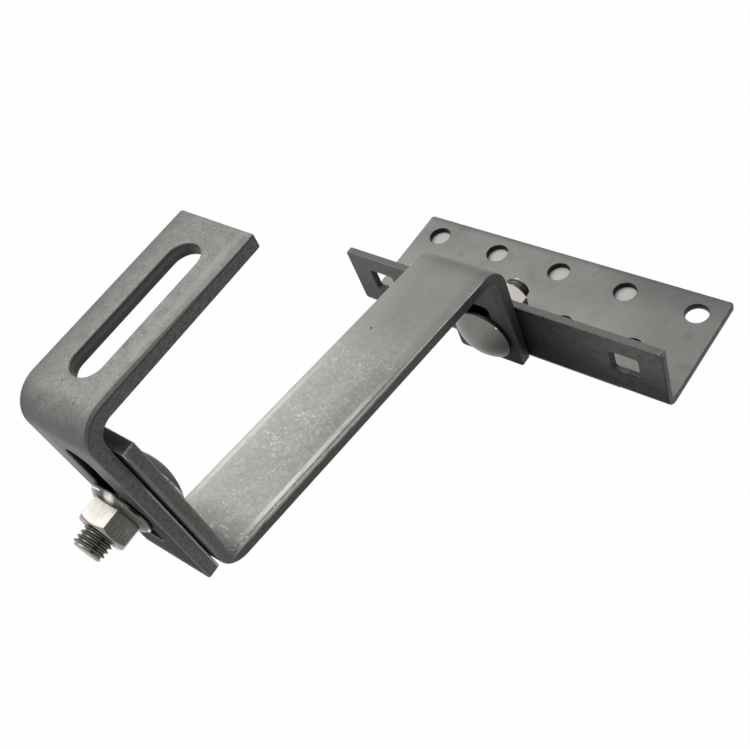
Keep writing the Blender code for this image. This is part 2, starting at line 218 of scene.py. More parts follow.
def finish_bar(bar, tools, edge_break, steel):
    """Break every edge, mark the cut faces for the steel, and leave a plain mesh.

    The mark is 0 on the bar's faces and 1 on its cut walls, and runs from one to the other across the
    broken edge between them."""
    for face in bar.data.polygons:
        face.use_smooth = True
    breaking = bar.modifiers.new("edge_break", "BEVEL")
    breaking.width = edge_break
    breaking.segments = 3
    breaking.limit_method = "ANGLE"
    breaking.angle_limit = math.radians(50.0)
    breaking.use_clamp_overlap = False
    breaking.material = BROKEN_EDGE
    flat = bar.modifiers.new("flat_faces", "WEIGHTED_NORMAL")
    flat.weight = 80
    made = plain_mesh(bar)
    marks = [0.5] * len(made.vertices)
    for kind, value in ((SURFACE, 0.0), (CUT, 1.0)):
        for face in made.polygons:
            if face.material_index == kind:
                for corner in face.vertices:
                    marks[corner] = value
    cut = made.attributes.new("cut", "FLOAT", "POINT")
    cut.data.foreach_set("value", marks)
    for face in made.polygons:
        face.use_smooth = True
        face.material_index = 0
    made.materials.clear()
    made.materials.append(steel)
    bar.modifiers.clear()
    bar.data = made
    for tool in tools:
        bpy.data.objects.remove(tool)


class Wire:
    """A node's output in a shader or geometry tree, which can be used in sums like a number."""

    def __init__(self, tree, socket=None):
        self.tree = tree
        self.socket = socket

    def node(self, kind, settings=None, links=None, output=0):
        made = self.tree.nodes.new(kind)
        for name, value in (settings or {}).items():
            setattr(made, name, value)
        for name, value in (links or {}).items():
            if isinstance(value, Wire):
                self.tree.links.new(value.socket, made.inputs[name])
            else:
                made.inputs[name].default_value = value
        return Wire(self.tree, made.outputs[output])

    def maths(self, operation, second=0.0, first=None):
        first = self if first is None else first
        return self.node("ShaderNodeMath", {"operation": operation}, {0: first, 1: second})

    def __add__(self, other):
        return self.maths("ADD", other)

    __radd__ = __add__

    def __mul__(self, other):
        return self.maths("MULTIPLY", other)

    __rmul__ = __mul__

    def __sub__(self, other):
        return self.maths("SUBTRACT", other)

    def __rsub__(self, other):
        return self.maths("SUBTRACT", self, other)

    def __truediv__(self, other):
        return self.maths("DIVIDE", other)

    def clamp(self, low=0.0, high=1.0):
        return self.node("ShaderNodeClamp", {}, {"Value": self, "Min": low, "Max": high})

    def ramp(self, low, high, bottom=0.0, top=1.0):
        """Rise smoothly from the bottom to the top as the value goes from low to high."""
        return self.node(
            "ShaderNodeMapRange",
            {"interpolation_type": "SMOOTHSTEP"},
            {"Value": self, "From Min": low, "From Max": high, "To Min": bottom, "To Max": top},
        )

    def band(self, start, full, fading, end):
        """Rise to 1 between start and full, and fall to 0 between fading and end."""
        return self.ramp(start, full) * (1.0 - self.ramp(fading, end))

    def close(self, inner, outer):
        """Return 1 where the value is within the inner distance of zero, and 0 past the outer one."""
        return 1.0 - self.maths("ABSOLUTE").ramp(inner, outer)


def new_steel(name, metallic, specular):
    """Start a steel finish, and return it with its shader and where each point lies on the piece."""
    steel = bpy.data.materials.new(name)
    steel.use_nodes = True
    shader = steel.node_tree.nodes["Principled BSDF"]
    shader.inputs["Metallic"].default_value = metallic
    shader.inputs["Specular IOR Level"].default_value = specular
    place = Wire(steel.node_tree).node("ShaderNodeTexCoord", output="Object")
    return steel, shader, place


def grain(place, size, detail=3.0, stretch=(1.0, 1.0, 1.0), shift=0.0, warp=0.0):
    """Return noise of a size in metres, drawn out along an axis where its stretch is over 1."""
    moved = place.node(
        "ShaderNodeMapping",
        {},
        {"Vector": place, "Location": (shift, shift, shift), "Scale": [1.0 / (size * s) for s in stretch]},
    )
    return place.node(
        "ShaderNodeTexNoise", {}, {"Vector": moved, "Scale": 1.0, "Detail": detail, "Distortion": warp}
    )


def part_of(place, axis):
    """Return one coordinate of where a point lies, in metres."""
    return place.node("ShaderNodeSeparateXYZ", {}, {0: place}, output="XYZ".index(axis))


def mark(place, name):
    """Return the number that a piece's mesh carries at each point under a name."""
    return place.node("ShaderNodeAttribute", {"attribute_name": name}, output="Fac")


WARM_GREY = (1.0, 0.98, 0.925)
MIX_FACTOR, MIX_FIRST, MIX_SECOND, MIX_RESULT = 0, 6, 7, 2


def mixed(amount, first, second):
    """Mix two colours, each a wire, a linear colour or the brightness of a warm grey."""
    made = amount.tree.nodes.new("ShaderNodeMix")
    made.data_type = "RGBA"
    amount.tree.links.new(amount.socket, made.inputs[MIX_FACTOR])
    for slot, colour in ((MIX_FIRST, first), (MIX_SECOND, second)):
        if isinstance(colour, Wire):
            amount.tree.links.new(colour.socket, made.inputs[slot])
        elif isinstance(colour, tuple):
            made.inputs[slot].default_value = (*colour, 1.0)
        else:
            made.inputs[slot].default_value = (*(colour * tint for tint in WARM_GREY), 1.0)
    return Wire(amount.tree, made.outputs[MIX_RESULT])


def darker(amount, colour, share):
    """Take a colour down to a share of itself where the amount is 1."""
    return mixed(amount * (1.0 - share), colour, 0.0)


def wear(steel, shader, colour, roughness, height, depth, metallic=None):
    """Join a finish's colour, painted light and shade included, and its roughness and surface height to its
    shader.
    """
    if metallic:
        steel.node_tree.links.new(metallic.socket, shader.inputs["Metallic"])
    steel.node_tree.links.new(colour.socket, shader.inputs["Base Color"])
    steel.node_tree.links.new(roughness.socket, shader.inputs["Roughness"])
    bump = colour.node("ShaderNodeBump", {}, {"Strength": 1.0, "Distance": depth, "Height": height})
    steel.node_tree.links.new(bump.socket, shader.inputs["Normal"])


def sheared(place, face, thickness, wall, burr, hole, edge_shine):
    """Lay sheared edges over a face: granular walls, paler where torn, holes in painted shade that darkens
    deeper down, and broken corners in a given edge colour, worn, with painted highlight and painted shade.
    """
    burr_sway, tear_sway = 0.0012, 0.002
    cut = mark(place, "cut")
    flat = place.node("ShaderNodeUVMap", {"uv_map": "flat"})
    depth = part_of(flat, "Y")
    speck = grain(place, 0.0005, 2.0, shift=0.7)
    torn = grain(place, 0.0016, 3.0, shift=0.1)
    edge = depth.maths("MINIMUM", thickness - depth) + (torn - 0.5) * burr_sway
    side = darker((1.0 - speck.ramp(0.42, 0.66)) * torn.ramp(0.35, 0.60, 0.4, 1.0), wall, 0.5)
    side = mixed((1.0 - edge.ramp(0.0002, 0.0008)) * 0.6, side, burr)
    # Painted shade on the walls of holes and slots, darker in their lower, torn part.
    torn_depth = (depth + (torn - 0.5) * tear_sway).ramp(thickness * 0.45, thickness * 0.62)
    inside = darker(torn_depth, hole, 0.5)
    side = mixed(part_of(flat, "X").ramp(PUNCHED * 0.6, PUNCHED * 0.5), inside, side)
    colour = mixed(cut.ramp(0.55, 1.0), face, side)
    # Broken edges take the given edge colour: worn steel, with painted highlight in places and painted shade
    # in others.
    broken = cut.band(0.1, 0.5, 0.5, 0.9)
    return mixed(broken * torn.ramp(0.3, 0.55, 0.4, 1.0), colour, edge_shine), cut, speck


BAR_METALLIC = 0.35
BAR_SPECULAR = 0.3
plate_steel, shader, place = new_steel("pickled_sheet", BAR_METALLIC, BAR_SPECULAR)
x, y, z = [part_of(place, axis) for axis in "XYZ"]
clouds = grain(place, 0.022, 2.0)
mottle = grain(place, 0.0035, 4.0, shift=0.3)
smudges = grain(place, 0.009, 3.0, shift=0.6)
face = mixed(clouds.ramp(0.3, 0.7), 0.25, 0.30)
face = mixed(x.ramp(-0.04, 0.075) * 0.6, face, 0.215)
face = mixed(mottle.ramp(0.35, 0.75) * 0.25, face, 0.20)
face = mixed(smudges.ramp(0.56, 0.70) * 0.35, face, 0.15)
pale_front = (1.0 - y.ramp(-0.005, 0.016)) * (1.0 - x.ramp(0.02, 0.06))
face = mixed(pale_front * 0.55, face, 0.38)
dull_corner = y.ramp(0.010, 0.0225) * x.ramp(0.010, 0.040)
face = darker(dull_corner, face, 0.72)
far_edge = y.ramp(PLATE_BACK - 0.0035, PLATE_BACK + 0.0002)
face = mixed(far_edge * 0.6, face, 0.11)

# Painted shade on the flange's front: darkest just right of the arm, paler towards the right end and on the
# left, and darker towards the foot, with mottle.
upright = 1.0 - y.ramp(FLANGE_FRONT + 0.0001, FLANGE_FRONT + 0.0010)
shaded = x.ramp(-0.014, -0.002)
to_right_end = x.ramp(0.010, 0.060)
front_top = mixed(shaded, 0.10, mixed(to_right_end, 0.022, 0.125))
front_foot = mixed(shaded, 0.035, mixed(to_right_end, 0.006, 0.048))
front = mixed(z.ramp(0.004, 0.030), front_foot, front_top)
front = darker(mottle.ramp(0.4, 0.7), front, 0.8)
face = mixed(upright, face, front)

# Painted shade in the holes, deepest in the screw holes. The broken edges are dark, and worn with a painted
# highlight along the flange's top, and the right end wall is painted shade.
in_flange = 1.0 - y.ramp(FLANGE_BACK, FLANGE_BACK + 0.0005)
hole_wall = mixed(in_flange, 0.012, 0.10)
rubbed = mixed(z.ramp(FLANGE_TOP - 0.0018, FLANGE_TOP - 0.0006) * in_flange, 0.04, 0.22)
end_wall = mixed(x.ramp(PLATE_END - 0.0015, PLATE_END - 0.0007), 0.15, 0.028)
colour, cut, speck = sheared(
    place, face, PLATE_THICKNESS, wall=end_wall, burr=0.16, hole=hole_wall, edge_shine=rubbed
)
in_shade = upright * shaded
wear(
    plate_steel,
    shader,
    colour,
    roughness=clouds * 0.10 + mottle * 0.12 + in_shade * 0.3 + 0.34,
    height=clouds * 0.5 + mottle * 0.3 + speck * 0.1,
    depth=0.00006,
    metallic=in_shade * 0.6 + BAR_METALLIC,
)

base_plate = steel_bar(
    "plate_of_sheet",
    corners=[side_on(FLANGE_FRONT, FLANGE_TOP), side_on(FLANGE_FRONT, 0.0), side_on(PLATE_BACK, 0.0)],
    radii=[PLATE_BEND],
    thickness=PLATE_THICKNESS,
    folds=1,
    half_width=PLATE_END,
    middle=0.0,
    end_radii=(PLATE_CORNER, PLATE_CORNER),
)
tools = []
for count, row in SCREW_ROWS:
    for index in range(count):
        centre = Vector(((index - (count - 1) / 2) * SCREW_PITCH, row, PLATE_THICKNESS / 2))
        tools.append(
            punch(
                base_plate, SCREW_HOLE, SCREW_HOLE, SCREW_HOLE / 2, centre, Z_AXIS, Y_AXIS, PLATE_THICKNESS
            )
        )
for out, up in (
    (-FLANGE_HOLE_OUT, FLANGE_HOLE_HEIGHT),
    (FLANGE_HOLE_OUT, FLANGE_HOLE_HEIGHT),
    (ARM_MIDDLE, ARM_BOLT_HEIGHT),
):
    centre = Vector((out, FLANGE_FRONT + PLATE_THICKNESS / 2, up))
    tools.append(
        punch(
            base_plate, SQUARE_HOLE, SQUARE_HOLE, SQUARE_HOLE_CORNER, centre, Y_AXIS, Z_AXIS, PLATE_THICKNESS
        )
    )
finish_bar(base_plate, tools, PLATE_EDGE_BREAK, plate_steel)
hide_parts("base_plate")
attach(base_plate, "root")

# The hook arm is one flat stainless bar, 30 by 4.6 mm, bent down against the flange and up behind the
# clip. Its far leg is slotted, so that a bolt through it sets the arm's height over the tile.
SEAT_GAP = 0.0003
ARM_HALF = 0.015
ARM_THICKNESS = 0.0046
ARM_BACK = FLANGE_FRONT - SEAT_GAP
ARM_FOOT = 0.0024
SHOULDER_HEIGHT = 0.0579
SHOULDER_BEND = 0.0075
RUN_LENGTH = 0.142
ELBOW_BEND = 0.0045
NEAR_LEG = 0.0618
ARM_FOOT_CORNER = 0.0015
ARM_TIP_CORNER = 0.0005
ARM_EDGE_BREAK = 0.0004
ARM_SLOT_LENGTH = 0.024
ARM_SLOT_CORNER = 0.002
ARM_SLOT_HEIGHT = 0.0215
CLIP_BOLT_ABOVE_ELBOW = 0.0311
CLIP_BOLT_MIDDLE = ARM_MIDDLE - 0.0028
run_slope = math.radians(8.0)
leg_lean = math.radians(1.0)
arm_up = side_on(-math.sin(leg_lean), math.cos(leg_lean))
arm_out = X_AXIS.cross(arm_up)
under_run = side_on(-math.sin(run_slope), -math.cos(run_slope))
shoulder = side_on(ARM_BACK, SHOULDER_HEIGHT)
elbow = shoulder + side_on(-math.cos(run_slope), math.sin(run_slope)) * RUN_LENGTH


def distance(place, spot):
    """Return how far a point lies from a spot, in metres."""
    return place.node("ShaderNodeVectorMath", {"operation": "DISTANCE"}, {0: place, 1: spot}, output=1)


def reach(place, start, way):
    """Return how far a point lies from a start along a direction, in metres."""
    away = place.node("ShaderNodeVectorMath", {"operation": "SUBTRACT"}, {0: place, 1: tuple(start)})
    return away.node("ShaderNodeVectorMath", {"operation": "DOT_PRODUCT"}, {0: away, 1: tuple(way)}, output=1)


# The arm's steel carries worn scuffs and rub bands, and painted light and shade as well.
arm_steel, shader, place = new_steel("worn_bar", BAR_METALLIC, BAR_SPECULAR)
beside = part_of(place, "X") - ARM_MIDDLE
along = part_of(place, "Y") * -1.0
height = part_of(place, "Z")
down_the_roof = along.ramp(0.065, 0.100)
clouds = grain(place, 0.016, 2.0, (1.0, 2.0, 1.0))
mottle = grain(place, 0.0022, 4.0, shift=0.4)
fine = grain(place, 0.0007, 2.0, shift=0.8)
face = mixed(clouds.ramp(0.3, 0.7), 0.28, 0.325)
face = mixed(down_the_roof, face, (0.41, 0.395, 0.36))
face = mixed(mottle.ramp(0.4, 0.65) * 0.3, face, 0.24)
face = mixed(fine.ramp(0.45, 0.65) * down_the_roof * 0.35, face, 0.52)

ragged = grain(place, 0.0014, 3.0, (0.6, 3.0, 1.0), shift=0.15)
left_rub = beside.band(-0.0147, -0.0141, -0.0130, -0.0120)
right_rub = beside.band(0.0113, 0.0122, 0.0131, 0.0135)
worn_down = along.ramp(0.078, 0.118) * along.ramp(0.138, 0.162, 1.0, 0.45)
rub = (left_rub * 0.8 + right_rub) * ragged.ramp(0.28, 0.5, 0.3, 1.0) * worn_down
face = mixed(rub, face, (0.78, 0.76, 0.68))
lines = beside.band(0.0136, 0.0138, 0.0141, 0.0143)
lines = lines.maths("MAXIMUM", 1.0 - beside.ramp(-0.0147, -0.0143))
face = mixed(lines * along.ramp(0.060, 0.100) * ragged.ramp(0.25, 0.5, 0.5, 1.0) * 0.75, face, 0.09)
# Painted shade where the run turns down at the elbow and over the shoulder, darkest along the shoulder's
# crest.
face = mixed(along.ramp(0.152, 0.1640) * 0.75, face, 0.18)
face = mixed((1.0 - along.ramp(0.028, 0.045)) * 0.75, face, 0.16)
crest = along.band(0.0262, 0.0300, 0.0310, 0.0365)
face = mixed(crest * 0.35, face, 0.08)
# The far leg's front is painted shade, darker towards its foot.
leg = (1.0 - along.ramp(0.0335, 0.0345)) * (1.0 - height.ramp(0.048, 0.058))
face = mixed(leg, face, mixed(height.ramp(0.012, 0.045), 0.045, 0.13))

curl = grain(place, 0.0034, 2.5, shift=0.9, warp=1.5) - 0.5
nests = None
nest_height = 0.07
for across, back, size in (
    (-0.013, -0.0865, 0.009),
    (-0.0065, -0.0885, 0.008),
    (0.003, -0.089, 0.008),
    (0.0075, -0.084, 0.007),
    (-0.007, -0.114, 0.009),
    (0.001, -0.117, 0.009),
    (0.005, -0.113, 0.006),
    (0.0015, -0.131, 0.008),
    (0.0002, -0.153, 0.007),
    (-0.010, -0.128, 0.010),
):
    nest = 1.0 - distance(place, (across, back, nest_height)).ramp(size * 0.4, size * 1.15)
    nests = nests.maths("MAXIMUM", nest) if nests else nest
scuffs = curl.close(0.008, 0.026) * nests * grain(place, 0.004, 2.0, shift=0.25).ramp(0.42, 0.55)
face = mixed(scuffs * fine.ramp(0.35, 0.55) * 0.8, face, (0.80, 0.79, 0.75))
dots = grain(place, 0.0011, 1.0, shift=0.35).ramp(0.62, 0.68) * down_the_roof
face = mixed(dots * 0.35, face, (0.74, 0.73, 0.69))
flecks = grain(place, 0.0016, 4.0, (1.0, 1.6, 1.0), shift=0.55).ramp(0.58, 0.66) * down_the_roof
face = mixed(flecks * 0.25, face, (0.66, 0.65, 0.60))
# Painted light on the left of the run, and painted shade towards its right and along its far right edge.
left_light = (1.0 - beside.ramp(-0.013, -0.004)) * along.ramp(0.034, 0.110, 0.12, 0.30)
face = mixed(left_light, face, (0.56, 0.55, 0.50))
right_side = beside.ramp(0.001, 0.009) * along.band(0.074, 0.092, 0.112, 0.146)
face = darker(right_side, face, 0.74)
far_right = beside.ramp(0.0095, 0.0125) * (1.0 - along.ramp(0.085, 0.105))
face = darker(far_right, face, 0.84)
pock = distance(place, (-0.0105, -0.0728, 0.0644))
face = mixed(1.0 - pock.ramp(0.0003, 0.0006), face, 0.03)

# The arm's cut walls are painted shade, darkest low on the far leg. Its broken edges are worn, with a painted
# highlight along the run's top and the near leg's end, and painted shade low down.
on_the_run = along.band(0.034, 0.040, 0.1655, 0.1690)
arm_wall = mixed(on_the_run, mixed(height.ramp(0.002, 0.045), 0.03, 0.14), 0.076)
below_top = reach(place, shoulder, under_run)
top_edge = on_the_run * (1.0 - below_top.ramp(0.0012, 0.0020))
bright_edge = top_edge.maths("MAXIMUM", height.ramp(0.136, 0.138))
dull_edge = mixed(height.ramp(0.07, 0.08), 0.05, 0.17)
arm_edge = mixed(bright_edge * ragged.ramp(0.25, 0.5, 0.35, 1.0), dull_edge, 0.75)
colour, cut, speck = sheared(
    place, face, ARM_THICKNESS, wall=arm_wall, burr=0.115, hole=0.03, edge_shine=arm_edge
)
# A painted highlight lies on the near leg's walls just behind its front face, and a worn line with a painted
# highlight runs under the run's top edges.
below_front = ARM_THICKNESS - reach(place, elbow, arm_out)
rolled_edge = below_front.band(0.0002, 0.0004, 0.0010, 0.0013) * cut * height.ramp(0.080, 0.090)
colour = mixed(rolled_edge * 0.8, colour, 0.20)
worn_line = top_edge * cut * (1.0 - below_top.ramp(0.0006, 0.0011)) * along.ramp(0.078, 0.098)
colour = mixed(worn_line * ragged.ramp(0.30, 0.5, 0.2, 0.8), colour, 0.42)
# The near leg's front face, where the clip covers it, is painted almost black as the clip's shadow.
colour = mixed(below_front.close(0.0, 0.0002) * 0.95, colour, 0.016)
leg_face = leg * (1.0 - cut)
wear(
    arm_steel,
    shader,
    colour,
    roughness=clouds * 0.12 + mottle * 0.14 - scuffs * 0.1 + leg_face * 0.4 + 0.30,
    height=clouds * 0.4 + mottle * 0.3 + scuffs * 0.1 + cut * speck * 0.3,
    depth=0.0001,
    metallic=leg_face * 0.6 + BAR_METALLIC,
)

hook_arm = steel_bar(
    "bent_arm",
    corners=[side_on(ARM_BACK, ARM_FOOT), shoulder, elbow, elbow + arm_up * NEAR_LEG],
    radii=[SHOULDER_BEND, ELBOW_BEND],
    thickness=ARM_THICKNESS,
    folds=1,
    half_width=ARM_HALF,
    middle=ARM_MIDDLE,
    end_radii=(ARM_FOOT_CORNER, ARM_TIP_CORNER),
)
clip_bolt_place = elbow + arm_up * CLIP_BOLT_ABOVE_ELBOW
clip_bolt_place.x = CLIP_BOLT_MIDDLE
slot_middle = Vector((ARM_MIDDLE, ARM_BACK - ARM_THICKNESS / 2, ARM_SLOT_HEIGHT))
hole_middle = clip_bolt_place + arm_out * (ARM_THICKNESS / 2)
tools = [
    punch(
        hook_arm,
        SQUARE_HOLE,
        ARM_SLOT_LENGTH,
        ARM_SLOT_CORNER,
        slot_middle,
        Y_AXIS,
        Z_AXIS,
        ARM_THICKNESS,
    ),
    punch(
        hook_arm,
        SQUARE_HOLE,
        SQUARE_HOLE,
        SQUARE_HOLE_CORNER,
        hole_middle,
        arm_out,
        arm_up,
        ARM_THICKNESS,
    ),
]
finish_bar(hook_arm, tools, ARM_EDGE_BREAK, arm_steel)
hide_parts("hook_arm")
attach(hook_arm, "root")

# The rail clip is a flat stainless bar, 29 by 4.8 mm, bent to a right angle, with a long slot in each
# leg. One slot sets its height on the arm, and the other takes the bolt of the rail that lies on it.
CLIP_HALF = 0.01445
CLIP_THICKNESS = 0.0048
CLIP_MIDDLE = ARM_MIDDLE - 0.0022
CLIP_ABOVE_ELBOW = 0.0758
CLIP_LEG = 0.0772
CLIP_TOP = 0.0712
CLIP_BEND = 0.0055
CLIP_CORNER = 0.0008
CLIP_EDGE_BREAK = 0.0005
CLIP_SLOT_WIDTH = 0.011
CLIP_SLOT_LENGTH = 0.0482
LEG_SLOT_MARGIN = 0.0127
TOP_SLOT_MARGIN = 0.009
droop = math.radians(0.7)
clip_face = elbow + arm_out * (ARM_THICKNESS + SEAT_GAP + CLIP_THICKNESS)
clip_corner = clip_face + arm_up * CLIP_ABOVE_ELBOW
clip_foot = clip_corner - arm_up * CLIP_LEG
clip_tip = clip_corner + side_on(math.cos(droop), -math.sin(droop)) * CLIP_TOP

clip_steel, shader, place = new_steel("slotted_bar", BAR_METALLIC, BAR_SPECULAR)
beside = part_of(place, "X") - CLIP_MIDDLE
back = part_of(place, "Y")
height = part_of(place, "Z")
clouds = grain(place, 0.014, 2.0)
mottle = grain(place, 0.0025, 5.0, shift=0.2)
pits = grain(place, 0.0009, 2.0, shift=0.5)
smudges = grain(place, 0.0055, 4.0, shift=0.45)
dust = grain(place, 0.0005, 2.0, shift=0.65)
face = mixed(clouds.ramp(0.3, 0.7), 0.225, 0.275)
face = mixed(mottle.ramp(0.35, 0.65) * 0.5, face, 0.185)
face = mixed(smudges.ramp(0.50, 0.68) * 0.5, face, (0.150, 0.143, 0.130))
face = mixed(dust.ramp(0.45, 0.68) * 0.4, face, 0.42)
face = mixed(pits.ramp(0.58, 0.70) * 0.5, face, 0.09)
# Across the top leg: darker along both side edges and towards the left, a painted highlight where the right
# edge rolls over, and painted shade where the right side falls away near the bend.
from_side = CLIP_HALF - beside.maths("ABSOLUTE")
face = mixed((1.0 - from_side.ramp(0.0, 0.0035)) * 0.4, face, 0.12)
face = mixed((1.0 - beside.ramp(-0.0145, -0.004)) * 0.45, face, 0.12)
right_roll = beside.band(0.0085, 0.0102, 0.0110, 0.0125)
face = mixed(right_roll * back.ramp(-0.172, -0.160) * 0.35, face, 0.36)
right_fall = beside - back.ramp(-0.165, -0.110, 0.0127, 0.0141)
face = darker(right_fall.ramp(-0.0002, 0.0003), face, 0.32)

# The upright leg is painted shade: darker below the bend and again lower down, with painted light on its left
# beside the slot, more painted shade on its lower right, and darker still at its foot by the arm's elbow.
face = mixed((1.0 - height.ramp(0.1445, 0.1543)) * 0.85, face, 0.080)
face = mixed((1.0 - height.ramp(0.085, 0.130)) * 0.6, face, 0.04)
left_glow = (1.0 - beside.ramp(-0.0095, -0.0050)) * height.band(0.088, 0.112, 0.132, 0.150)
face = mixed(left_glow * 0.9, face, 0.26)
low_right = beside.ramp(0.0, 0.006) * (1.0 - height.ramp(0.118, 0.130))
face = darker(low_right, face, 0.75)
up_the_leg = reach(place, elbow, arm_up)
face = mixed((1.0 - up_the_leg.ramp(0.0005, 0.0045)) * 0.8, face, 0.13)

# Painted shade in the slots, darker low down. The broken edges carry a painted highlight along the upright
# leg's back edge, which faces the arm, and are darker along the top leg's right edge.
slot_wall = mixed(height.ramp(0.138, 0.150), 0.010, 0.10)
from_joint = reach(place, elbow, arm_out) - ARM_THICKNESS - SEAT_GAP
back_edge = from_joint.close(0.0006, 0.0014) * (1.0 - height.ramp(0.128, 0.136))
clip_edge = mixed(back_edge, 0.24, 0.95)
clip_edge = mixed(beside.ramp(0.0122, 0.0126) * height.ramp(0.140, 0.148), clip_edge, 0.085)
colour, cut, speck = sheared(
    place, face, CLIP_THICKNESS, wall=0.150, burr=0.15, hole=slot_wall, edge_shine=clip_edge
)
# A painted highlight runs on the walls beside that back edge, and the walls at the joint with the arm are
# painted almost black as shade in the gap.
back_line = from_joint.close(0.0006, 0.0010) * cut * (1.0 - height.ramp(0.118, 0.126))
colour = mixed(back_line * 0.9, colour, 0.62)
joint_line = from_joint.close(0.0001, 0.0002) * cut.ramp(0.05, 0.30)
colour = mixed(joint_line * (1.0 - up_the_leg.ramp(0.0600, 0.0640)) * 0.95, colour, 0.010)
low_front = (1.0 - height.ramp(0.100, 0.138)) * (1.0 - cut)
wear(
    clip_steel,
    shader,
    colour,
    roughness=clouds * 0.12 + mottle * 0.16 + low_front * 0.40 + 0.32,
    height=clouds * 0.4 + mottle * 0.35 + pits * 0.25 + cut * speck * 0.3,
    depth=0.0001,
    metallic=low_front * 0.6 + BAR_METALLIC,
)

rail_clip = steel_bar(
    "slotted_clip",
    corners=[clip_foot, clip_corner, clip_tip],
    radii=[CLIP_BEND],
    thickness=CLIP_THICKNESS,
    folds=-1,
    half_width=CLIP_HALF,
    middle=CLIP_MIDDLE,
    end_radii=(CLIP_CORNER, CLIP_CORNER),
)
tools = []
for end, margin, turn in ((clip_foot, LEG_SLOT_MARGIN, -1), (clip_tip, TOP_SLOT_MARGIN, 1)):
    way = (clip_corner - end).normalized()
    inward = X_AXIS.cross(way) * turn
    centre = end + way * (margin + CLIP_SLOT_LENGTH / 2) + inward * (CLIP_THICKNESS / 2)
    centre.x = CLIP_BOLT_MIDDLE
    tools.append(
        punch(
            rail_clip,
            CLIP_SLOT_WIDTH,
            CLIP_SLOT_LENGTH,
            CLIP_SLOT_WIDTH / 2,
            centre,
            inward,
            way,
            CLIP_THICKNESS,
        )
    )
finish_bar(rail_clip, tools, CLIP_EDGE_BREAK, clip_steel)
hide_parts("rail_clip")
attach(rail_clip, "root")

# Two M10 carriage bolts of bright stainless steel: a domed head, a square neck that locks in the arm's
# square hole, and a rolled thread of 1.5 mm pitch that stands out of the nut.
BOLT_RADIUS = 0.00495
BOLT_LENGTH = 0.0264
HEAD_RADIUS = 0.0123
HEAD_HEIGHT = 0.0055
HEAD_RIM = 0.0013
RIM_ROUND = 0.0002
NECK_SIDE = 0.010
NECK_LENGTH = 0.0042
NECK_CORNER = 0.0006
THREAD_PITCH = 0.0015
THREAD_DEPTH = 0.00085
THREAD_START = 0.0105
THREAD_RUNOUT = 0.0012
THREAD_CHAMFER = 0.0009
CORE_RADIUS = BOLT_RADIUS - THREAD_DEPTH - RIM_ROUND / 2
HEAD_STEPS = 24
ROUND_STEPS = 96


def turned_shape(profile):
    """Turn (radius, height) points about Z into a closed shape."""
    shape = bmesh.new()
    angles = [math.tau * step / ROUND_STEPS for step in range(ROUND_STEPS)]
    rows = []
    for radius, height in profile:
        around = [(radius * math.cos(angle), radius * math.sin(angle)) for angle in angles]
        if radius == 0.0:
            around = [(0.0, 0.0)]
        rows.append([shape.verts.new((x, y, height)) for x, y in around])
    for row, after in zip(rows, rows[1:]):
        for step in range(ROUND_STEPS):
            beside = (step + 1) % ROUND_STEPS
            ring = [row[step % len(row)], row[beside % len(row)]]
            ring += [after[beside % len(after)], after[step % len(after)]]
            shape.faces.new(dict.fromkeys(ring))
    bmesh.ops.recalc_face_normals(shape, faces=shape.faces)
    return shape


def thread_tree():
    """Build the tree that rolls a thread: a grid wound about Z so that its rows follow the helix."""
    tree = bpy.data.node_groups.new("rolled_thread", "GeometryNodeTree")
    for name in ("Radius", "Depth", "Pitch", "Start", "End", "Chamfer"):
        tree.interface.new_socket(name, in_out="INPUT", socket_type="NodeSocketFloat")
    tree.interface.new_socket("Steel", in_out="INPUT", socket_type="NodeSocketMaterial")
    tree.interface.new_socket("Geometry", in_out="OUTPUT", socket_type="NodeSocketGeometry")
    given = tree.nodes.new("NodeGroupInput")
    radius, depth, pitch, start, end, chamfer = [Wire(tree, given.outputs[i]) for i in range(6)]
    steps_in_pitch, columns = 8, 64
    turns = (end - start) / pitch + 1.0
    rows = turns * float(steps_in_pitch) + 1.0
    grid = rows.node(
        "GeometryNodeMeshGrid",
        {},
        {"Size X": 1.0, "Size Y": 1.0, "Vertices X": columns + 1, "Vertices Y": rows},
    )
    index = rows.node("GeometryNodeInputIndex")
    whole_rows = rows.maths("FLOOR")
    phase = index.maths("MODULO", whole_rows) / float(steps_in_pitch)
    share = ((index + 0.5) / whole_rows).maths("FLOOR") / float(columns)
    height = (start + (phase + share - 1.0) * pitch).clamp(start, end)
    from_crest = (phase.maths("FRACT") * 2.0 - 1.0).maths("ABSOLUTE")
    groove = from_crest.ramp(0.1, 0.85)
    out = (radius - depth * groove).maths("MINIMUM", radius - chamfer + (end - height))
    angle = share * math.tau
    spot = out.node(
        "ShaderNodeCombineXYZ", {}, {0: out * angle.maths("COSINE"), 1: out * angle.maths("SINE"), 2: height}
    )
    wound = out.node("GeometryNodeSetPosition", {}, {"Geometry": grid, "Position": spot})
    real = out.node("GeometryNodeRealizeInstances", {}, {0: wound})
    painted = out.node(
        "GeometryNodeSetMaterial", {}, {"Geometry": real, "Material": Wire(tree, given.outputs[6])}
    )
    result = tree.nodes.new("NodeGroupOutput")
    tree.links.new(painted.socket, result.inputs[0])
    return tree


between_bolts = (ARM_BOLT_HEIGHT + clip_bolt_place.z) / 2
bolt_steel, shader, place = new_steel("bright_bolt", 0.8, 0.4)
height = part_of(place, "Z")
rise = mark(place, "rise")
near = height.maths("GREATER_THAN", between_bolts)
clouds = grain(place, 0.009, 2.0)
fine = grain(place, 0.0012, 4.0, shift=0.6)
colour = mixed(clouds.ramp(0.3, 0.7), 0.25, 0.30)
colour = mixed(fine.ramp(0.4, 0.7) * 0.3, colour, 0.19)
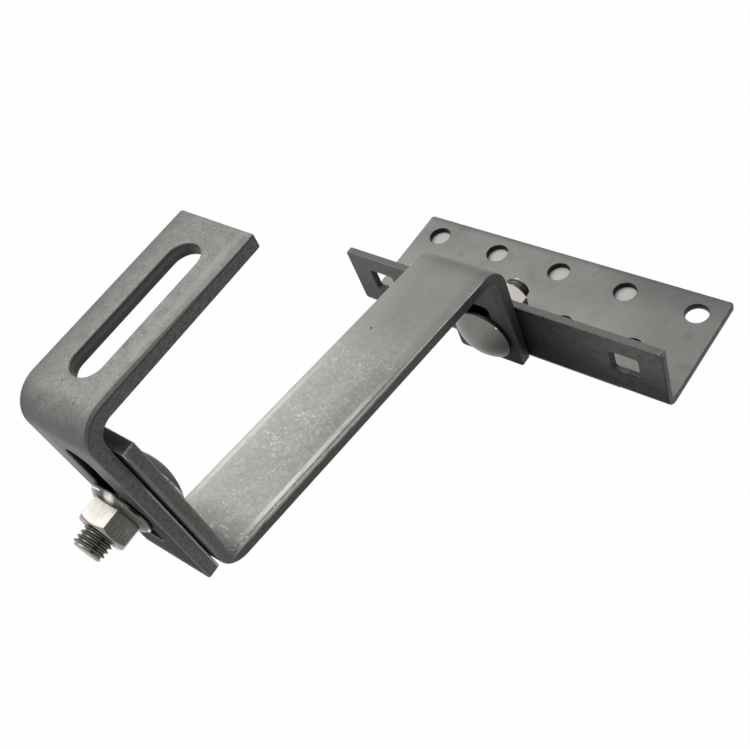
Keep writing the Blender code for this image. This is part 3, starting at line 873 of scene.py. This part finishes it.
# The bolts are toned a darker brown grey, the near one more as painted shade, and both are painted darker
# towards their lower side, the far one also towards its right.
colour = mixed(near * 0.45 + 0.35, colour, (0.12, 0.118, 0.095))
above_middle = height - ARM_BOLT_HEIGHT - near * (clip_bolt_place.z - ARM_BOLT_HEIGHT)
lower_right = above_middle - (part_of(place, "X") - ARM_MIDDLE) * (1.0 - near)
colour = mixed((1.0 - lower_right.ramp(-0.014, 0.008)) * 0.9, colour, 0.022)
# Painted shade on the near head's dome, and a painted highlight along the near head's rim and at one glint on
# the far head's rim.
near_head = near * (1.0 - rise.ramp(0.0, 0.001))
colour = darker(near_head, colour, 0.58)
rim = (rise + HEAD_RIM).close(0.00015, 0.0004)
glint = 1.0 - distance(place, (0.0059, -0.0325, 0.0252)).ramp(0.0003, 0.0008)
lit_rim = rim * (near * fine.ramp(0.3, 0.55) * 0.8 + glint).clamp()
colour = mixed(lit_rim, colour, (0.95, 0.94, 0.90))
bolt_end = rise.ramp(BOLT_LENGTH - 0.0010, BOLT_LENGTH - 0.0006)
colour = mixed(bolt_end * 0.8, colour, (0.36, 0.35, 0.31))
wear(
    bolt_steel,
    shader,
    colour,
    roughness=clouds * 0.1 + fine * 0.12 + near_head * 0.25 + 0.20,
    height=clouds * 0.6 + fine * 0.4,
    depth=0.00004,
)

thread_steel, shader, place = new_steel("rolled_thread_steel", 1.0, 0.4)
fine = grain(place, 0.0010, 3.0, shift=0.6)
# Painted highlights along the thread's crests, and painted shade in its roots.
bright_crest = mark(place, "crest").ramp(0.78, 0.98) * fine.ramp(0.3, 0.5, 0.6, 1.0)
colour = mixed(bright_crest, (0.010, 0.008, 0.006), (0.96, 0.91, 0.79))
bolt_end = mark(place, "rise").ramp(BOLT_LENGTH - 0.0010, BOLT_LENGTH - 0.0006)
colour = mixed(bolt_end * 0.8, colour, (0.50, 0.48, 0.43))
wear(thread_steel, shader, colour, roughness=fine * 0.15 + 0.20, height=fine, depth=0.00003)

crown = HEAD_HEIGHT - HEAD_RIM
ball = (HEAD_RADIUS**2 + crown**2) / (2 * crown)
widest = math.asin(HEAD_RADIUS / ball)
bolt_profile = [(0.0, -HEAD_HEIGHT)]
for step in range(1, HEAD_STEPS + 1):
    angle = widest * step / HEAD_STEPS
    bolt_profile.append((ball * math.sin(angle), -HEAD_RIM - ball * (math.cos(angle) - math.cos(widest))))
bolt_profile += [
    (HEAD_RADIUS, -HEAD_RIM + RIM_ROUND),
    (HEAD_RADIUS, -2 * RIM_ROUND),
    (HEAD_RADIUS - RIM_ROUND, -RIM_ROUND / 2),
    (HEAD_RADIUS - 3 * RIM_ROUND, 0.0),
    (BOLT_RADIUS, 0.0),
    (BOLT_RADIUS, THREAD_START + RIM_ROUND),
    (CORE_RADIUS, THREAD_START + THREAD_RUNOUT),
    (CORE_RADIUS, BOLT_LENGTH - RIM_ROUND),
    (CORE_RADIUS - RIM_ROUND, BOLT_LENGTH),
    (0.0, BOLT_LENGTH),
]

neck = bmesh.new()
bmesh.ops.create_cube(neck, size=1.0)
bmesh.ops.scale(neck, vec=(NECK_SIDE, NECK_SIDE, NECK_LENGTH), verts=neck.verts)
bmesh.ops.translate(neck, vec=(0.0, 0.0, NECK_LENGTH / 2), verts=neck.verts)
standing = [e for e in neck.edges if abs(e.verts[0].co.z - e.verts[1].co.z) > NECK_LENGTH / 2]
bmesh.ops.bevel(neck, geom=standing, offset=NECK_CORNER, segments=3, profile=0.5, affect="EDGES")
neck_mesh = bpy.data.meshes.new("neck")
neck.to_mesh(neck_mesh)
neck.free()

thread = bpy.data.objects.new("thread", bpy.data.meshes.new("thread"))
bpy.context.scene.collection.objects.link(thread)
rolling = thread.modifiers.new("thread", "NODES")
rolling.node_group = thread_tree()
thread_sizes = {
    "Radius": BOLT_RADIUS,
    "Depth": THREAD_DEPTH,
    "Pitch": THREAD_PITCH,
    "Start": THREAD_START,
    "End": BOLT_LENGTH,
    "Chamfer": THREAD_CHAMFER,
    "Steel": thread_steel,
}
for item in rolling.node_group.interface.items_tree:
    if item.in_out == "INPUT":
        rolling[item.identifier] = thread_sizes[item.name]
rolled = plain_mesh(thread)
bpy.data.objects.remove(thread)

arm_bolt_seat = Vector((ARM_MIDDLE, ARM_BACK - ARM_THICKNESS - SEAT_GAP, ARM_BOLT_HEIGHT))
for name, seat, direction, up in (
    ("arm_bolt", arm_bolt_seat, Y_AXIS, Z_AXIS),
    ("clip_bolt", clip_bolt_place - arm_out * SEAT_GAP, arm_out, arm_up),
):
    bolt = add_piece("bright_" + name, turned_shape(bolt_profile))
    whole = bmesh.new()
    whole.from_mesh(bolt.data)
    whole.from_mesh(neck_mesh)
    for face in whole.faces:
        face.material_index = 0
    before = len(whole.faces)
    whole.from_mesh(rolled)
    whole.faces.ensure_lookup_table()
    for face in whole.faces[before:]:
        face.material_index = 1
    rise = whole.verts.layers.float.new("rise")
    crest = whole.verts.layers.float.new("crest")
    for vert in whole.verts:
        vert[rise] = vert.co.z
        vert[crest] = (vert.co.xy.length - BOLT_RADIUS + THREAD_DEPTH) / THREAD_DEPTH
    whole.transform(placed(seat, direction, up))
    whole.to_mesh(bolt.data)
    whole.free()
    bolt.data.materials.clear()
    bolt.data.materials.append(bolt_steel)
    bolt.data.materials.append(thread_steel)
    bolt.data.shade_smooth()
    bolt.data.set_sharp_from_angle(angle=math.radians(40.0))
    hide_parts(name)
    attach(bolt, "root")

# Two M10 hexagon nuts with a pressed flange, bright stainless, 15 mm across flats. Each end is
# chamfered, and the flange spreads the load beside the slot. A flat washer lies under the far one.
NUT_HALF = 0.0075
NUT_HEIGHT = 0.010
NUT_CORNER = NUT_HALF / math.cos(math.radians(30.0))
NUT_FOOT = 0.0002
NUT_FLANGE = 0.0104
NUT_FLANGE_ROUND = 0.0003
NUT_FLANGE_RIM = 0.0014
FLANGE_HOLLOW = ((0.0018, 0.0020), (0.0009, 0.0026), (0.0, 0.0030), (-0.0004, 0.0031))
NUT_BORE = 0.0053
BORE_CHAMFER = 0.0006
CHAMFER_START = NUT_HALF * 0.94
NUT_OVERRUN = 0.001
WASHER_HOLE = 0.00525
WASHER_RADIUS = 0.0100
WASHER_THICKNESS = 0.0020
WASHER_EDGE = 0.0002
WASHER_TOP_EDGE = 0.0003

nut_steel, shader, place = new_steel("bright_nut", 0.9, 0.4)
rise = mark(place, "rise")
far = part_of(place, "Y").ramp(-0.060, -0.030)
near = 1.0 - far
clouds = grain(place, 0.006, 2.0)
scratches = grain(place, 0.0007, 3.0, (0.5, 4.0, 1.0), shift=0.6)
colour = mixed(clouds.ramp(0.3, 0.7), (0.27, 0.258, 0.235), (0.35, 0.335, 0.305))
colour = mixed(scratches.ramp(0.5, 0.7) * 0.4, colour, 0.20)
# Painted light and shade on the nuts: the far nut is painted lighter, and its lower half and the washer's
# darker. The near nut's flange is darker on its right and in its cone, with a painted sheen on its upper left
# and painted glints along its rim.
colour = mixed(far * 0.9, colour, (0.66, 0.64, 0.59))
under_side = 1.0 - part_of(place, "Z").ramp(0.0193, 0.0197)
colour = mixed(under_side * 0.9, colour, 0.045)
right_half = near * part_of(place, "X").ramp(-0.0120, -0.0050, 0.35, 1.0)
colour = mixed((1.0 - rise.ramp(0.0027, 0.0034)) * right_half * 0.6, colour, 0.06)
cone = rise.band(0.0012, 0.0016, 0.0027, 0.0032)
colour = darker(cone * right_half, colour, 0.62)
sheen = 1.0 - distance(place, (-0.0033, -0.1788, 0.1173)).ramp(0.0008, 0.0026)
sheen = sheen * (1.0 - rise.ramp(0.0030, 0.0036)) * clouds.ramp(0.3, 0.5, 0.6, 1.0)
colour = mixed(sheen, colour, (0.90, 0.88, 0.82))
rim = (rise - (NUT_FLANGE_RIM - 0.0001)).close(0.0001, 0.0003)
colour = mixed(rim * near * clouds.ramp(0.5, 0.6) * 0.9, colour, (0.92, 0.91, 0.87))
wear(
    nut_steel,
    shader,
    colour,
    roughness=clouds * 0.08 + scratches * 0.08 + 0.18,
    height=clouds * 0.5 + scratches * 0.5,
    depth=0.00003,
)

chamfer_drop = (NUT_CORNER + NUT_OVERRUN - CHAMFER_START) * math.tan(math.radians(35.0))
envelope_profile = [
    (0.0, -NUT_OVERRUN),
    (NUT_CORNER + NUT_OVERRUN, -NUT_OVERRUN),
    (NUT_CORNER + NUT_OVERRUN, NUT_HEIGHT - chamfer_drop),
    (CHAMFER_START, NUT_HEIGHT),
    (0.0, NUT_HEIGHT),
]
flange_profile = [
    (0.0, 0.0),
    (NUT_FLANGE - NUT_FLANGE_ROUND, 0.0),
    (NUT_FLANGE, NUT_FLANGE_ROUND),
    (NUT_FLANGE, NUT_FLANGE_RIM - 0.0004),
    (NUT_FLANGE - NUT_FLANGE_ROUND, NUT_FLANGE_RIM),
]
flange_profile += [(NUT_HALF + out, height) for out, height in FLANGE_HOLLOW]
flange_profile += [(0.0, FLANGE_HOLLOW[-1][1])]
mouth = NUT_BORE + BORE_CHAMFER + NUT_OVERRUN
bore_profile = [
    (0.0, -NUT_OVERRUN),
    (mouth, -NUT_OVERRUN),
    (NUT_BORE, BORE_CHAMFER),
    (NUT_BORE, NUT_HEIGHT - BORE_CHAMFER),
    (mouth, NUT_HEIGHT + NUT_OVERRUN),
    (0.0, NUT_HEIGHT + NUT_OVERRUN),
]
washer_seat = Vector((ARM_MIDDLE, FLANGE_BACK + SEAT_GAP, ARM_BOLT_HEIGHT))
arm_nut_seat = washer_seat + Y_AXIS * (WASHER_THICKNESS + SEAT_GAP)
clip_nut_seat = clip_bolt_place + arm_out * (ARM_THICKNESS + CLIP_THICKNESS + 2 * SEAT_GAP)
for name, seat, direction, up, turn in (
    ("arm_nut", arm_nut_seat, Y_AXIS, Z_AXIS, 38.0),
    ("clip_nut", clip_nut_seat, arm_out, arm_up, 50.0),
):
    body = bmesh.new()
    angles = [math.radians(60.0) * side for side in range(6)]
    corners = [(NUT_CORNER * math.cos(angle), NUT_CORNER * math.sin(angle)) for angle in angles]
    low = [body.verts.new((x, y, NUT_FOOT)) for x, y in corners]
    high = [body.verts.new((x, y, NUT_HEIGHT)) for x, y in corners]
    body.faces.new(low[::-1])
    body.faces.new(high)
    for side in range(6):
        beside = (side + 1) % 6
        body.faces.new((low[side], low[beside], high[beside], high[side]))
    nut = add_piece("bright_" + name, body)
    nut.data.shade_smooth()
    tools = []
    for profile, operation in (
        (envelope_profile, "INTERSECT"),
        (flange_profile, "UNION"),
        (bore_profile, "DIFFERENCE"),
    ):
        tool = add_piece("form", turned_shape(profile))
        tool.data.shade_smooth()
        forming = nut.modifiers.new("form", "BOOLEAN")
        forming.operation = operation
        forming.solver = "EXACT"
        forming.object = tool
        tools.append(tool)
    softening = nut.modifiers.new("edges", "BEVEL")
    softening.width = 0.00012
    softening.segments = 2
    softening.limit_method = "ANGLE"
    softening.angle_limit = math.radians(28.0)
    softening.use_clamp_overlap = False
    softening.harden_normals = True
    made = plain_mesh(nut)
    nut.modifiers.clear()
    for tool in tools:
        bpy.data.objects.remove(tool)
    rise = made.attributes.new("rise", "FLOAT", "POINT")
    rise.data.foreach_set("value", [vert.co.z for vert in made.vertices])
    made.transform(placed(seat, direction, up) @ Matrix.Rotation(math.radians(turn), 4, "Z"))
    made.materials.clear()
    made.materials.append(nut_steel)
    nut.data = made
    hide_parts(name)
    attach(nut, "root")

washer_profile = [
    (WASHER_HOLE, WASHER_EDGE),
    (WASHER_HOLE + WASHER_EDGE, 0.0),
    (WASHER_RADIUS - WASHER_EDGE, 0.0),
    (WASHER_RADIUS, WASHER_EDGE),
    (WASHER_RADIUS, WASHER_THICKNESS - WASHER_TOP_EDGE),
    (WASHER_RADIUS - WASHER_TOP_EDGE, WASHER_THICKNESS),
    (WASHER_HOLE + WASHER_EDGE, WASHER_THICKNESS),
    (WASHER_HOLE, WASHER_THICKNESS - WASHER_EDGE),
    (WASHER_HOLE, WASHER_EDGE),
]
washer = add_piece("bright_arm_washer", turned_shape(washer_profile))
washer.data.transform(placed(washer_seat, Y_AXIS, Z_AXIS))
washer.data.materials.append(nut_steel)
washer.data.shade_smooth()
washer.data.set_sharp_from_angle(angle=math.radians(30.0))
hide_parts("arm_washer")
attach(washer, "root")

# The studio: a plain white floor, a grey sheet under the plate that is painted shade showing in its screw
# holes, one large soft lamp overhead and to the left, and a weak one in front. A black felt card stands at
# the right, out of the picture, for the bright steel to reflect.
FLOOR_HALF = 3.0
PAD_LEFT, PAD_RIGHT, PAD_HALF, PAD_LIFT = -0.069, 0.050, 0.024, 0.0002
CARD_OUT, CARD_HALF, CARD_TOP = 0.62, 0.9, 0.5
STUDIO_MIDDLE = Vector((0.0, -0.07, 0.05))


def seen_by_eye(tree):
    """Return 1 where the camera looks at a thing, straight, in a reflection or through glass."""
    path = tree.nodes.new("ShaderNodeLightPath")
    seen = Wire(tree, path.outputs["Is Camera Ray"])
    seen = seen + Wire(tree, path.outputs["Is Glossy Ray"]) + Wire(tree, path.outputs["Is Transmission Ray"])
    return seen.clamp()


def add_sheet(name, corners):
    """Add one flat sheet of the studio through its corners."""
    shape = bmesh.new()
    shape.faces.new([shape.verts.new(corner) for corner in corners])
    return add_piece(name, shape)


def matt_paint(name, colour):
    """Make an even paint with hardly any shine."""
    paint = bpy.data.materials.new(name)
    paint.use_nodes = True
    shader = paint.node_tree.nodes["Principled BSDF"]
    shader.inputs["Base Color"].default_value = (*colour, 1.0)
    shader.inputs["Roughness"].default_value = 0.9
    return paint


floor_shape = bmesh.new()
bmesh.ops.create_grid(floor_shape, x_segments=1, y_segments=1, size=FLOOR_HALF)
floor = add_piece("floor", floor_shape)
floor_paint = bpy.data.materials.new("floor_paint")
floor_paint.use_nodes = True
tree = floor_paint.node_tree
tree.nodes.clear()
seen = seen_by_eye(tree)
matt = seen.node("ShaderNodeBsdfDiffuse", {}, {"Color": (0.85, 0.85, 0.85, 1.0)})
white = seen.node("ShaderNodeEmission", {}, {"Color": (1.0, 1.0, 1.0, 1.0), "Strength": 1.0})
both = seen.node("ShaderNodeMixShader", {}, {0: seen * 0.985, 1: matt, 2: white})
painted = tree.nodes.new("ShaderNodeOutputMaterial")
tree.links.new(both.socket, painted.inputs["Surface"])
floor.data.materials.append(floor_paint)

# A grey sheet under the plate is painted shade, seen through its screw holes.
pad = add_sheet(
    "grey_pad",
    [
        (PAD_LEFT, -PAD_HALF, PAD_LIFT),
        (PAD_RIGHT, -PAD_HALF, PAD_LIFT),
        (PAD_RIGHT, PAD_HALF, PAD_LIFT),
        (PAD_LEFT, PAD_HALF, PAD_LIFT),
    ],
)
pad.data.materials.append(matt_paint("grey_pad", (0.80, 0.785, 0.75)))

for name, place, size, power in (
    ("overhead", (-0.36, -0.05, 0.95), 0.7, 4.6),
    ("front", (0.5, -0.9, 0.7), 0.8, 0.8),
):
    lamp = bpy.data.lights.new(name, "AREA")
    lamp.size = size
    lamp.energy = power
    holder = bpy.data.objects.new(name, lamp)
    bpy.context.scene.collection.objects.link(holder)
    holder.location = place
    holder.rotation_euler = (STUDIO_MIDDLE - Vector(place)).to_track_quat("-Z", "Y").to_euler()

dark_card = add_sheet(
    "dark_card",
    [
        (CARD_OUT, -CARD_HALF, 0.0),
        (CARD_OUT, CARD_HALF, 0.0),
        (CARD_OUT, CARD_HALF, CARD_TOP),
        (CARD_OUT, -CARD_HALF, CARD_TOP),
    ],
)
dark_card.data.materials.append(matt_paint("black_felt", (0.02, 0.02, 0.02)))
dark_card.visible_camera = False

world = bpy.data.worlds.new("studio")
bpy.context.scene.world = world
world.use_nodes = True
tree = world.node_tree
tree.nodes.clear()
seen = seen_by_eye(tree)
white = seen.node("ShaderNodeBackground", {}, {"Color": (1.0, 1.0, 1.0, 1.0), "Strength": 1.0})
dim = seen.node("ShaderNodeBackground", {}, {"Color": (0.9, 0.95, 1.0, 1.0), "Strength": 0.35})
both = seen.node("ShaderNodeMixShader", {}, {0: seen, 1: dim, 2: white})
lit = tree.nodes.new("ShaderNodeOutputWorld")
tree.links.new(both.socket, lit.inputs["Surface"])
